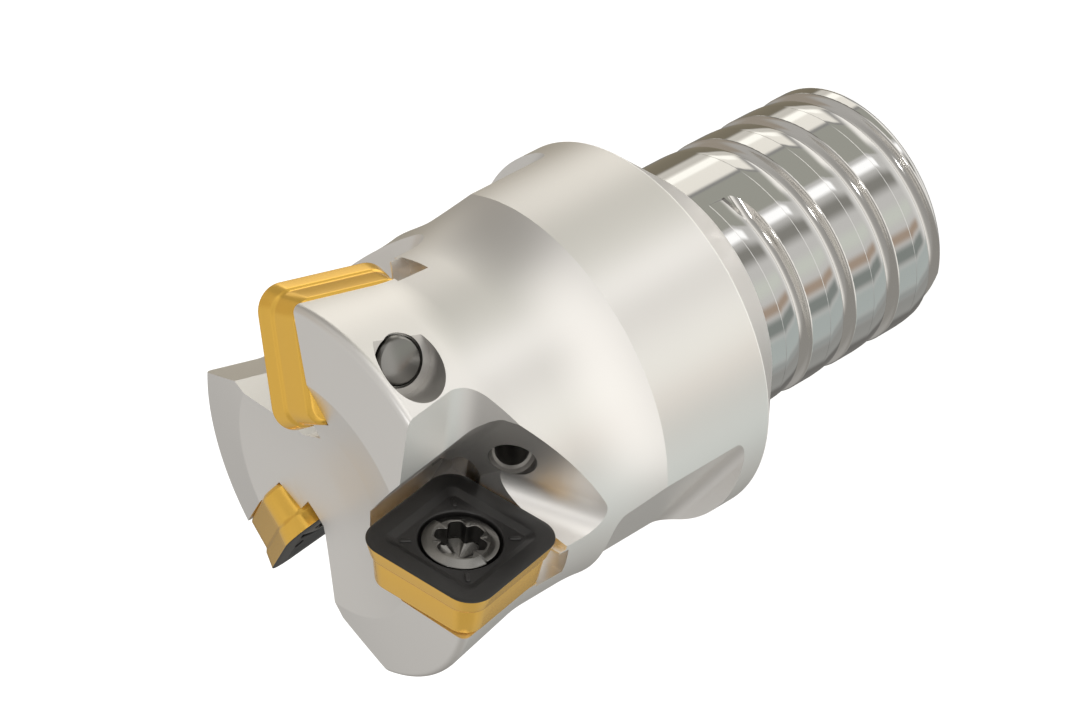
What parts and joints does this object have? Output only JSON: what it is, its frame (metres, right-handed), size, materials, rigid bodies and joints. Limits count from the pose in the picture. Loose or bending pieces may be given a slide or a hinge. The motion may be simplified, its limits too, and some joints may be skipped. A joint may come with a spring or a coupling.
{
  "type": "indexable high-feed milling head",
  "caption": "Screw-in high-feed milling head: steel body with wrench flats and a coarse threaded shank, chip gullets and screwed-down square carbide inserts.",
  "frame": {"origin": "centre of the flat end of the shank", "axes": "+Z along the tool axis towards the cutting face; the first insert is on the +X side"},
  "size_m": [0.0346, 0.0342, 0.0611],
  "materials": {
    "body_steel": "satin nickel-plated steel",
    "coated_carbide": "gold coating on carbide, dark on the face",
    "screw_steel": "dark oiled steel"
  },
  "bodies": {
    "root": {"head_body": "body_steel", "insert_1": "coated_carbide", "insert_2": "coated_carbide", "insert_3": "coated_carbide", "insert_screw_1": "screw_steel", "insert_screw_2": "screw_steel", "insert_screw_3": "screw_steel"}
  },
  "joints": []
}
